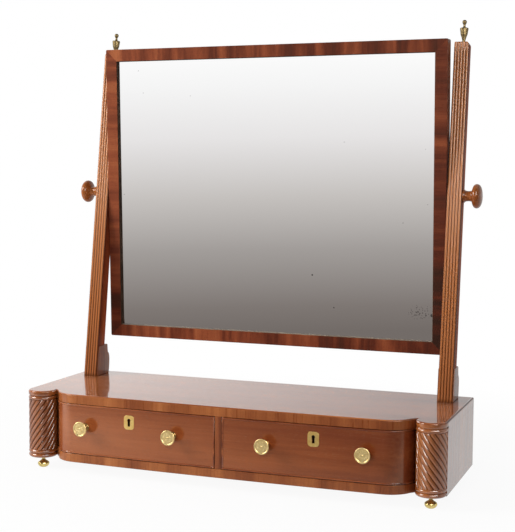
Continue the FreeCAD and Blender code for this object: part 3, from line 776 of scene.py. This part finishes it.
knob_brass = metal("knob_brass", tint(236, 210, 150), tint(204, 172, 108), 0.4, 0.25)
knob_radius = 11 * mm
knob_length = 18 * mm
knob_z = (front_low.z + front_high.z) / 2 + 4 * mm
outer_reach = 72.5 * mm
inner_reach = 69.5 * mm
flower_rise = 0.9 * knob_length
flower_flatness = 0.45
knob_side = [
    [(0.0, -0.05), (0.55, -0.05)],
    [(0.55, -0.05), (0.55, 0.05)],
    [(0.55, 0.05), (0.48, 0.1), (0.34, 0.16), (0.28, 0.38), (0.36, 0.6)],
    [(0.36, 0.6), (0.58, 0.66), (0.82, 0.75), (0.96, 0.84)],
    [(0.96, 0.84), (1.0, 0.88), (0.99, 0.92), (0.93, 0.945), (0.85, 0.93), (0.8, 0.905)],
    [(0.8, 0.905), (0.74, 0.89), (0.4, 0.9), (0.0, 0.905)],
]
for side, sign in both_sides:
    for place_name, x in (("outer", lock_x + outer_reach), ("inner", lock_x - inner_reach)):
        place = on_bow(sign * x, knob_z)
        # Below 0.87 of its length the knob is darkened: painted shade on the neck and behind the head, with a
        # little tarnish.
        head = turned("knob_head", knob_side, knob_radius, knob_length, place, around=64, dark_below=0.87)
        flower = grown("knob_rosette", petal_tree, {
            "Petals": 12, "Ring": 4.9 * mm, "Petal length": 2.5 * mm, "Petal width": 1.2 * mm,
            "Petal rise": 0.4 * mm, "Boss": 1.7 * mm, "Finish": knob_brass})
        flower.data.transform(place @ Matrix.Translation((0, 0, flower_rise))
                              @ Matrix.Diagonal((1, 1, flower_flatness, 1)))
        node = f"{side}_drawer_{place_name}_knob"
        knob = taken_together(f"{node}_stamped", [head, flower])
        fitted(knob, knob_brass, "brass", f"{side}_drawer", node)


# Uprights: tapered mahogany posts raked backwards, their fronts worked with five reeds, tenoned into the
# top board and cut square under the finials.

upright_height = 521.5 * mm
upright_rake = 74 * mm
upright_setback = 60 * mm
upright_depth = 24.4 * mm
upright_taper = 4.2 * mm
shoulder = 4.2 * mm
upright_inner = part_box("right_upright")[0].x
upright_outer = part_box("right_upright")[1].x
upright_x = (upright_inner + upright_outer) / 2


def upright_front(height):
    """Front of an upright at some height over the top board."""
    return box_back + upright_rake * height / upright_height - upright_setback


def upright_back(height):
    """Back of an upright at some height over the top board."""
    return upright_front(height) + upright_depth - upright_taper * height / upright_height


def upright_centre(height):
    """Middle of the right upright at some height over the top board."""
    return Vector((upright_x, (upright_front(height) + upright_back(height)) / 2, top_high + height))


upright_axis = (upright_centre(upright_height) - upright_centre(0)).normalized()
reeds_across = 5
reed_steps = 12
reed_drop = 1.0 * mm
reed_pitch = (upright_outer - upright_inner) / reeds_across
upright_plan = []
for i in range(reeds_across * reed_steps + 1):
    u = 2 * (i % reed_steps) / reed_steps - 1
    upright_plan.append((upright_inner + i * reed_pitch / reed_steps, reed_drop * u * u, True))
ease = 1.2 * mm
turns = [math.radians(a) for a in (0, 30, 60, 90)]
back_corner = [(ease * (1 - math.cos(a)), ease * (1 - math.sin(a))) for a in turns]
back_corner = [(0, ease * 2)] + back_corner + [(ease * 2, 0)]
upright_plan += [(upright_outer - dx, dy, False) for dx, dy in back_corner]
upright_plan += [(upright_inner + dx, dy, False) for dx, dy in reversed(back_corner)]


def upright_spot(x, depth, from_front, height):
    """Point of an upright: how far across, how deep from its front or its back, and how high."""
    y = upright_front(height) + depth if from_front else upright_back(height) - depth
    return Vector((x, y, top_high + height))


def upright_ring(short, inset):
    """Points round an upright, square to its axis, a little short of its rounded end and drawn in."""
    end = upright_centre(upright_height) - upright_axis * short
    drawn = shoulder - math.sqrt(shoulder ** 2 - max(0, shoulder - short) ** 2)
    ring = []
    for x, depth, from_front in upright_plan:
        foot = upright_spot(x, depth, from_front, 0)
        head = upright_spot(x, depth, from_front, upright_height)
        share = (end - foot).dot(upright_axis) / (head - foot).dot(upright_axis)
        spot = foot.lerp(head, share).lerp(end, inset / 11 / mm)
        spot.x = max(upright_inner + 0.3 * drawn, min(upright_outer - drawn, spot.x))
        ring.append(spot)
    return ring


upright_rise = math.atan2(upright_axis.y, upright_axis.z)
# The palest crest tones are a painted highlight along the reeds. Low on the uprights the tone is darkened,
# where that highlight dies out.
crest_highlight_tones = shades((160, 90, 40), (180, 108, 56), (198, 134, 90), (212, 154, 114))
upright_finish = wood("reeded_upright", crest_highlight_tones, 2, figure=30, contrast=0.8, streaks=0.1, low_darkening=2.0,
                      polish=0.5, dull=0.34, specular=0.3, pores=0.0, relief=0.0, haze=0.2, rake=upright_rise)
side_tones = shades((120, 50, 26), (164, 78, 42), (188, 96, 54), (204, 114, 66))
plain_finish = wood("upright_sides", side_tones, 2, figure=40, polish=0.0, dull=0.55, specular=0.15,
                    rake=upright_rise)
# Painted shade darkens the feet of the uprights and brackets where they stand on the top board.
foot_shade = 1.1
valley_shade = 1.3
heights = [0, 6 * mm] + [upright_height * i / 40 for i in range(1, 39)]
ends = [(4.2, 0), (2.8, 0), (1.6, 0), (0.8, 0), (0.3, 0.15), (0, 0.6), (0, 1.2)]
rings_up = [[upright_spot(*stop, height) for stop in upright_plan] for height in heights]
rings_up += [upright_ring(short * mm, inset * mm) for short, inset in ends]
# The reed valleys are darkened by painted shade, deeper where the valley is deeper.
valleys = [valley_shade * depth / reed_drop if from_front else 0.0 for _, depth, from_front in upright_plan]
foot_marks = [max(foot_shade, v) for v in valleys]
for side, sign in both_sides:
    rings = [[Vector((sign * p.x, p.y, p.z)) for p in ring] for ring in rings_up]
    post = stacked(f"{side}_reeded_post", rings, foot_marks + valleys * (len(rings) - 1))
    fitted(post, upright_finish, "carved_mahogany", "base", f"{side}_upright", crease=40)
    refaced(post, plain_finish,
            lambda face: face.center.y > upright_front(face.center.z - top_high) + 2 * reed_drop)


# Brackets: shaped mahogany blocks glued round the feet of the uprights and to the top board, a thin cheek
# on each side and a bulging back.

bracket_finish = wood("bracket_mahogany", carved_tones, 2, figure=40, polish=0.55, dull=0.4, specular=0.0)
bracket_low, bracket_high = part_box("right_bracket")
bracket_height = bracket_high.z - bracket_low.z
bracket_depth = 21.5 * mm
cheek_setback = 2.6 * mm
bulge = through([Vector((d * bracket_depth, h * bracket_height)) for d, h in
                 ((0.865, 0.0), (0.95, 0.2), (1.0, 0.48), (0.93, 0.64), (0.75, 0.73))])
soft = 0.8 * mm
bulge += [Vector((0.68 * bracket_depth, h)) for h in (bracket_height - soft, bracket_height)]
for side, sign in both_sides:
    rings = []
    for depth, height in bulge:
        drawn = 0.5 * mm if height == bracket_height else 0.0
        front = upright_front(height) + cheek_setback + drawn
        back = upright_back(0) + depth - drawn
        inner = bracket_low.x + drawn
        outer = bracket_high.x - drawn
        plan = [(inner, front), (upright_inner, front), (upright_inner, upright_back(height)),
                (upright_outer, upright_back(height)), (upright_outer, front), (outer, front),
                (outer, back - soft), (outer - 0.3 * soft, back - 0.3 * soft), (outer - soft, back),
                (inner + soft, back), (inner + 0.3 * soft, back - 0.3 * soft), (inner, back - soft)]
        rings.append([Vector((sign * x, y, top_high + height)) for x, y in plan])
    # The lowest ring of the bracket is darkened by painted shade where it meets the top board.
    marks = [foot_shade] * len(plan) + [0.0] * (len(plan) * (len(rings) - 1))
    block = stacked(f"{side}_shaped_bracket", rings, marks)
    fitted(block, bracket_finish, "carved_mahogany", "base", f"{side}_bracket")


# Finials: small cast and turned brass urns, darkened by age, each on a spigot that is let into the top of
# an upright.

old_brass = metal("aged_brass", tint(146, 127, 88), tint(74, 61, 40), 0.42, 0.45)
finial_height = 36.2 * mm
finial_radius = 6.2 * mm
finial_setback = 6.5 * mm
finial_side = [
    [(0.0, 0.0), (0.45, 0.0)],
    [(0.45, 0.0), (0.46, 0.02), (0.44, 0.045)],
    [(0.44, 0.045), (0.36, 0.09), (0.36, 0.12), (0.41, 0.17), (0.58, 0.28), (0.79, 0.38), (0.89, 0.48),
     (0.965, 0.58)],
    [(0.965, 0.58), (0.99, 0.6), (1.0, 0.63), (0.97, 0.655)],
    [(0.97, 0.655), (0.44, 0.667)],
    [(0.44, 0.667), (0.36, 0.695), (0.29, 0.735), (0.26, 0.79)],
    [(0.26, 0.79), (0.33, 0.82), (0.45, 0.855), (0.525, 0.905), (0.49, 0.95), (0.36, 0.983), (0.18, 0.997),
     (0.0, 1.0)],
]
sideways = Vector((1, 0, 0)).cross(upright_axis)
seat = upright_centre(upright_height) - sideways * finial_setback
stance = Vector((0, 0, 1)).rotation_difference(upright_axis).to_matrix().to_4x4()
for side, sign in both_sides:
    place = Matrix.Translation((sign * seat.x, seat.y, seat.z)) @ stance
    urn = turned(f"{side}_urn", finial_side, finial_radius, finial_height, place)
    fitted(urn, old_brass, "antique_brass", "base", f"{side}_finial")


# Mirror frame: four mahogany members mitred at the corners, a rebate behind the inner edge, all faced
# with cross-banded veneer whose grain runs across each member.

pin_low, pin_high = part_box("right_pivot_screw")
pivot = Vector((0.0, (pin_low.y + pin_high.y) / 2, 416.2 * mm))
pivot_lift = 4.2 * mm
frame_x = 276.8 * mm
frame_z = 231.6 * mm
lean = math.asin(17 * mm / (2 * frame_z))
hang = Matrix.Translation(pivot) @ Matrix.Rotation(lean, 4, "X") @ Matrix.Translation((0, 0, -pivot_lift))
frame_corner = 2.2 * mm
frame_face = 19.1 * mm
frame_depth = 10 * mm
glass_front = 5.4 * mm - frame_depth
rebate = frame_face - 7 * mm
sight_ease = 0.8 * mm
member_section = eased([Vector(p) for p in (
    (0, frame_depth), (0, -frame_depth), (frame_face, -frame_depth), (frame_face, glass_front),
    (rebate, glass_front), (rebate, frame_depth))], sight_ease)


def member(name, half_length, out, angle):
    """Mitred bar of the frame, turned to its side and hung on the pivots."""
    rings = []
    for end, turns in ((-1, (45, 30, 15, 0)), (1, (0, 15, 30, 45))):
        for a in map(math.radians, turns):
            rim = Vector((math.sin(a) - 1, math.cos(a) - 1)) * frame_corner
            root = Vector((a / math.pi * 2 - 1.5, -1)) * frame_corner
            ring = []
            for p in member_section:
                past = max(0, p.x - frame_corner)
                spot = rim.lerp(root, min(1, p.x / frame_corner)) - Vector((past, past))
                ring.append(Vector((end * (half_length + spot.x), p.y, out + spot.y)))
            rings.append(ring)
    bar = stacked(name, rings)
    bar.data.transform(hang @ Matrix.Rotation(math.radians(angle), 4, "Y"))
    return bar


def on_sight_edge(face):
    """Whether a face of the frame belongs to the inner edge, next to the glass."""
    spot = hang.inverted() @ face.center
    inside = frame_face - 0.3 * mm
    return abs(spot.x) < frame_x - inside and abs(spot.z) < frame_z - inside


frame_tones = shades((58, 37, 30), (92, 44, 31), (132, 68, 44), (160, 92, 58), low=0.35, high=0.65)
# Both frame finishes are painted lighter to the left, as the window's light falls off.
rail_finish = wood("cross_banded_rail", frame_tones, 2, figure=44, contrast=1.6, streaks=0.12, light_falloff=-0.65,
                   polish=0.05, specular=0.12, rake=lean)
# The stiles darken towards their feet, a painted shadow cast by the uprights.
stile_finish = wood("cross_banded_stile", frame_tones, 0, figure=40, contrast=1.4, streaks=0.12, light_falloff=-0.42,
                    low_darkening=2.0, polish=0.05, specular=0.12, rake=lean)
# The inner edges beside the glass carry painted light: dark on the top rail and left stile, a painted shade,
# and pale on the bottom rail and right stile, painted light together with its reflection in the glass.
edge_tones = shades((34, 24, 17), (66, 50, 38))
dark_edge = wood("shaded_sight_edge", edge_tones, 0, polish=0.0, dull=0.6, specular=0.05)
lit_edge_tones = shades((92, 76, 60), (126, 110, 90))
lit_edge_finish = wood("painted_light_sight_edge", lit_edge_tones, 0, polish=0.5, dull=0.5)
for node, finish, edge, half_length, out, angle in (
        ("frame_top_rail", rail_finish, dark_edge, frame_x, frame_z, 0),
        ("frame_bottom_rail", rail_finish, lit_edge_finish, frame_x, frame_z, 180),
        ("frame_left_stile", stile_finish, dark_edge, frame_z, frame_x, -90),
        ("frame_right_stile", stile_finish, lit_edge_finish, frame_z, frame_x, 90)):
    bar = member(f"{node}_veneered", half_length, out, angle)
    fitted(bar, finish, "crossband_mahogany", "mirror", node)
    refaced(bar, edge, on_sight_edge)


# Mirror glass: an old silvered plate in the rebate, with small specks where the silver has gone, held
# from behind by glued blocks.

glass_finish, start = new_finish("old_silvering")
place = start.node("ShaderNodeTexCoord", out="Object")
ragged = start.node("ShaderNodeTexNoise", {"Vector": place, "Scale": 700.0, "Detail": 1.0}) - 0.5
unevenness = 1.5 * mm
from_side = place.part(0) + ragged * unevenness
from_foot = place.part(2) + ragged * unevenness


def within(x, z, wide, tall, reach):
    """Falls from a value in the middle of an oval on the glass, in millimetres, to nothing and below."""
    aside = (from_side - x * mm) / (wide * mm)
    above = (from_foot - z * mm) / (tall * mm)
    return reach - aside * aside - above * above


specks = ragged * 0.0
for x, z, radius, strength in (
        (69, 292, 1.3, 0.9), (104, 243, 1.0, 0.9), (-222, 609, 0.9, 0.6), (-214, 574, 0.8, 0.4),
        (-132, 568, 0.8, 0.4), (-251, 412, 0.9, 0.5), (120, 495, 1.2, 0.2), (211, 375, 0.7, 0.5),
        (248, 403, 0.6, 0.5), (244, 484, 0.6, 0.4), (256, 238, 2.2, 0.8)):
    specks = specks + (within(x, z, radius, radius, 1.2) * 3).kept() * strength
patch = within(238, 242, 25, 16, 1).kept()
cells = start.node("ShaderNodeTexVoronoi", {"Vector": place, "Scale": 400.0})
specks = (specks + ((patch * 0.42 - cells) * 20).kept() * 0.7).kept()
silver = start.blend(specks * 0.9, (0.97, 0.97, 0.97, 1.0), (0.05, 0.045, 0.04, 1.0))
shader = start.node("ShaderNodeBsdfPrincipled", {"Base Color": silver, "Metallic": 1.0, "Roughness": 0.01})
start.node("ShaderNodeOutputMaterial", {"Surface": shader})
upright_on = Matrix(((1, 0, 0, 0), (0, 0, -1, 0), (0, 1, 0, 0), (0, 0, 0, 1)))


def hung_sheet(name, half_x, half_z, corner, back, front, arris):
    """Flat rectangular sheet hung in the frame, its faces at distances in front of the frame's middle."""
    sheet = board(name, eased(squared(-half_x, -half_z, half_x, half_z), corner), back, front, arris)
    sheet.data.transform(hang @ upright_on)
    return sheet


glass_play = 1 * mm
glass_thickness = 4 * mm
glass_x = frame_x - rebate - glass_play
glass_z = frame_z - rebate - glass_play
glass = hung_sheet("silvered_plate", glass_x, glass_z, 1 * mm, -glass_front - glass_thickness, -glass_front,
                   0.4 * mm)
fitted(glass, glass_finish, "mirror_glass", "mirror", "mirror_glass")
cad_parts["glass_blocks"].material_slots[0].material = back_pine


# Backboard: a planed pine board over the whole back of the frame, its rear edges bevelled, held by brass
# screws with slotted heads.

board_pine = wood("backboard_pine", pine_tones, 0, figure=24, polish=0.0, dull=0.6, pores=0.12, relief=0.3,
                  rake=lean)
board_margin = 5 * mm
board_thickness = 6 * mm
board_bevel = 2 * mm
board_x = frame_x - board_margin
board_z = frame_z - board_margin
backing = hung_sheet("backing_board", board_x, board_z, 2.5 * mm, -frame_depth - board_thickness,
                     -frame_depth, board_bevel)
fitted(backing, board_pine, "pine", "mirror", "mirror_backboard")

screw_tree, start, size = shape_tree("slotted_screws", {
    "Places": "Geometry", "Head radius": "Float", "Head depth": "Float", "Slot": "Float",
    "Finish": "Material"})
head = start.node("GeometryNodeMeshCone", {
    "Vertices": 24, "Radius Top": size["Head radius"], "Radius Bottom": size["Head radius"] * 0.5,
    "Depth": size["Head depth"]})
slot_size = start.node("ShaderNodeCombineXYZ", {
    "X": size["Head radius"] * 3, "Y": size["Slot"], "Z": size["Head depth"]})
slot_block = start.node("GeometryNodeMeshCube", {"Size": slot_size})
lift = start.node("ShaderNodeCombineXYZ", {"Z": size["Head depth"] * 1.3})
slot_block = start.node("GeometryNodeTransform", {"Geometry": slot_block, "Translation": lift})
slotted = start.node("GeometryNodeMeshBoolean", {"Mesh 1": head, "Mesh 2": slot_block},
                     operation="DIFFERENCE")
heading = start.node("ShaderNodeCombineXYZ", {"Z": start.node("GeometryNodeInputIndex") * 1.7})
screws = start.node("GeometryNodeInstanceOnPoints", {
    "Points": size["Places"], "Instance": slotted, "Rotation": heading}, out="Instances")
close_tree(start, screws, size["Finish"])
screw_margin = 4.5 * mm
screw_seat = 14.5 * mm
screw_x = board_x - screw_margin
screw_z = board_z - screw_margin
screw_places = [Vector((share * screw_x, end * screw_z, 0))
                for share in (-0.92, -0.31, 0.31, 0.92) for end in (-1, 1)]
screw_places += [Vector((end * screw_x, share * screw_z, 0)) for share in (-0.36, 0.36) for end in (-1, 1)]
heads = grown("slotted_heads", screw_tree, {
    "Head radius": 2.8 * mm, "Head depth": 1.6 * mm, "Slot": 0.7 * mm, "Finish": old_brass}, screw_places)
heads.data.transform(hang @ Matrix.Translation((0, screw_seat, 0)) @ Matrix.Rotation(-math.pi / 2, 4, "X"))
fitted(heads, old_brass, "brass", "mirror", "backboard_screws")


# Pivots: turned mahogany knobs outside the uprights, each on a brass screw that passes through the upright
# and a washer into a brass plate in the edge of the frame.

knob_wood = wood("turned_knob", carved_tones, 0, figure=30, contrast=1.0, streaks=0.15, polish=0.5, dull=0.3,
                 specular=0.2, pores=0.1, relief=0.0, haze=0.14)
pivot_radius = 17.8 * mm
pivot_side = [
    [(0.0, 0.0), (0.52, 0.0)],
    [(0.52, 0.0), (0.56, 0.03), (0.54, 0.08)],
    [(0.54, 0.08), (0.46, 0.13), (0.425, 0.24), (0.425, 0.36), (0.47, 0.46)],
    [(0.47, 0.46), (0.6, 0.485), (0.78, 0.525)],
    [(0.78, 0.525), (0.92, 0.58), (0.985, 0.65), (1.0, 0.72), (0.97, 0.8), (0.88, 0.875)],
    [(0.88, 0.875), (0.72, 0.93), (0.48, 0.972), (0.24, 0.993), (0.0, 1.0)],
]
for side, sign in both_sides:
    low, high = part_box(f"{side}_pivot_knob")
    start_x = low.x if sign > 0 else high.x
    place = Matrix.Translation((start_x, pivot.y, pivot.z)) @ Matrix.Rotation(sign * math.pi / 2, 4, "Y")
    knob = turned(f"{side}_turned_knob", pivot_side, pivot_radius, high.x - low.x, place, around=64)
    fitted(knob, knob_wood, "carved_mahogany", f"{side}_pivot", f"{side}_pivot_knob")
    for node in (f"{side}_pivot_screw", f"{side}_pivot_plate"):
        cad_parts[node].material_slots[0].material = brass
for node in ("pivot_washers", "pivot_plate_screws"):
    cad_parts[node].material_slots[0].material = brass


# Ground and light: a plain white table under the object in a pale room that darkens below the table's
# front edge, overhead and on the right in front, though only in reflections, where the table too is
# painted greyer in front and paler close by on the left: a painted reflection. To the camera both are
# plain white, and the room lights the object evenly. A large window stands on the left and a lamp over
# the camera, and two white cards on the right lend highlights only.

ground_finish, start = new_finish("white_table")
path, gloss, clear = [start.node("ShaderNodeLightPath", out=f"Is {kind} Ray")
                      for kind in ("Camera", "Glossy", "Transmission")]
spot = start.node("ShaderNodeTexCoord", out="Object")
off = start.node("ShaderNodeVectorMath", {0: spot}, "Value", operation="LENGTH")
spot_x = spot.part(0)
spot_y = spot.part(1)
in_front = ((-0.16 - spot_y) / 0.2).kept()
close_by = ((spot_y + 0.62) / 0.36).kept()
to_left = ((0.25 - spot_x) / 0.7).kept()
mirrored = 0.8 - in_front * (0.68 - to_left * to_left * close_by * 1.9)
shade = start.node("ShaderNodeCombineXYZ", {"X": mirrored, "Y": mirrored, "Z": mirrored})
faded = ((off - 0.3) / 0.6).kept() * 0.07 + 0.93
paper = start.node("ShaderNodeBsdfDiffuse", {"Color": (0.86, 0.86, 0.86, 1.0)})
lit = start.node("ShaderNodeEmission", {"Color": (1.0, 1.0, 1.0, 1.0), "Strength": 1.0})
in_gloss = start.node("ShaderNodeEmission", {"Color": shade, "Strength": 1.0})
surface = start.node("ShaderNodeMixShader", {0: (path + clear).kept() * faded, 1: paper, 2: lit})
surface = start.node("ShaderNodeMixShader", {0: gloss * 0.9, 1: surface, 2: in_gloss})
start.node("ShaderNodeOutputMaterial", {"Surface": surface})
ground = joined("table", [(-4, -0.8, 0), (4, -0.8, 0), (4, 5, 0), (-4, 5, 0)], [(0, 1, 2, 3)])
ground.data.materials.append(ground_finish)

room = bpy.data.worlds.new("pale_room")
bpy.context.scene.world = room
room.use_nodes = True
room.node_tree.nodes.clear()
start = Tone(room.node_tree)
path, gloss, clear = [start.node("ShaderNodeLightPath", out=f"Is {kind} Ray")
                      for kind in ("Camera", "Glossy", "Transmission")]
heading = start.node("ShaderNodeTexCoord", out="Generated")
sideways, forward, height = [heading.part(axis) for axis in range(3)]
room_stops = [(place, tint(*grey)) for place, grey in (
    (0.0, (116, 109, 105)), (0.09, (128, 121, 117)), (0.3, (164, 159, 156)), (0.49, (199, 195, 192)),
    (0.71, (233, 231, 231)), (0.9, (248, 248, 248)), (1.0, (254, 254, 254)))]
shown = start.node("ShaderNodeValToRGB", {"Fac": ((height + 0.2) / 0.23).kept()}, stops=room_stops)
from_front = ((0.1 - forward) / 0.3).kept()
from_behind = ((forward - 0.1) / 0.3).kept()
overhead = ((height - 0.05) / 0.1).kept() * from_front
behind = ((height - 0.02) / 0.06).kept() * from_behind * ((sideways + 0.47) / 0.25).kept() * 0.43
right_front = ((sideways - 0.16) / 0.1).kept() * from_front
darkness = (overhead + behind + right_front).kept()
white = start.node("ShaderNodeBackground", {"Color": (1.0, 1.0, 1.0, 1.0), "Strength": 1.0})
reflected = start.node("ShaderNodeBackground", {"Color": shown, "Strength": 1.0})
ceiling = start.node("ShaderNodeBackground", {"Color": (0.1, 0.1, 0.1, 1.0), "Strength": 1.0})
lighting = start.node("ShaderNodeBackground", {"Color": (1.0, 1.0, 1.0, 1.0), "Strength": 0.34})
mixed = start.node("ShaderNodeMixShader", {0: darkness, 1: reflected, 2: ceiling})
mixed = start.node("ShaderNodeMixShader", {0: gloss, 1: lighting, 2: mixed})
mixed = start.node("ShaderNodeMixShader", {0: (path + clear).kept(), 1: mixed, 2: white})
start.node("ShaderNodeOutputWorld", {"Surface": mixed})

aim = Vector((0, 0, 0.3))
for name, spot, wide, tall, power, fills, glints in (
        ("left_window", (-1.75, -1.0, 1.2), 0.9, 0.9, 38.0, True, True),
        ("front_lamp", (0.2, -1.75, 0.9), 0.3, 0.5, 9.0, True, False),
        ("front_card", (0.86, -1.7, 1.0), 0.86, 0.75, 11.0, False, True),
        ("side_card", (1.0, -0.7, 0.9), 0.7, 0.44, 13.0, False, True)):
    lamp = bpy.data.lights.new(name, "AREA")
    lamp.shape = "RECTANGLE"
    lamp.size = wide
    lamp.size_y = tall
    lamp.energy = power
    holder = bpy.data.objects.new(name, lamp)
    holder.location = spot
    holder.visible_diffuse = fills
    holder.visible_glossy = glints
    holder.rotation_euler = (aim - Vector(spot)).to_track_quat("-Z", "Y").to_euler()
    bpy.context.scene.collection.objects.link(holder)


# Camera: a long lens from the front and a little to the right, just above the middle of the glass, its
# place, turn and shift fitted to the photo in pixels of its width.

picture_width = 515
focal_pixels = 1175.035
lens = bpy.data.cameras.new("camera")
lens.sensor_fit = "HORIZONTAL"
lens.sensor_width = 36
lens.lens = focal_pixels * lens.sensor_width / picture_width
lens.shift_x = -0.276 / picture_width
lens.shift_y = -4.319 / picture_width
camera = bpy.data.objects.new("camera", lens)
yaw, pitch, roll = [math.radians(a) for a in (20.640, 4.2057, -0.4127)]
ahead = Vector((-math.sin(yaw) * math.cos(pitch), math.cos(yaw) * math.cos(pitch), -math.sin(pitch)))
rightward = Vector((math.cos(yaw), math.sin(yaw), 0))
downward = ahead.cross(rightward)
level = rightward * math.cos(roll) + downward * math.sin(roll)
drop = downward * math.cos(roll) - rightward * math.sin(roll)
camera.matrix_world = Matrix.Translation((0.62527, -1.62475, 0.44436)) @ Matrix(
    (level, -drop, -ahead)).transposed().to_4x4()
bpy.context.scene.collection.objects.link(camera)
bpy.context.scene.camera = camera
bpy.context.scene.view_settings.view_transform = "Standard"
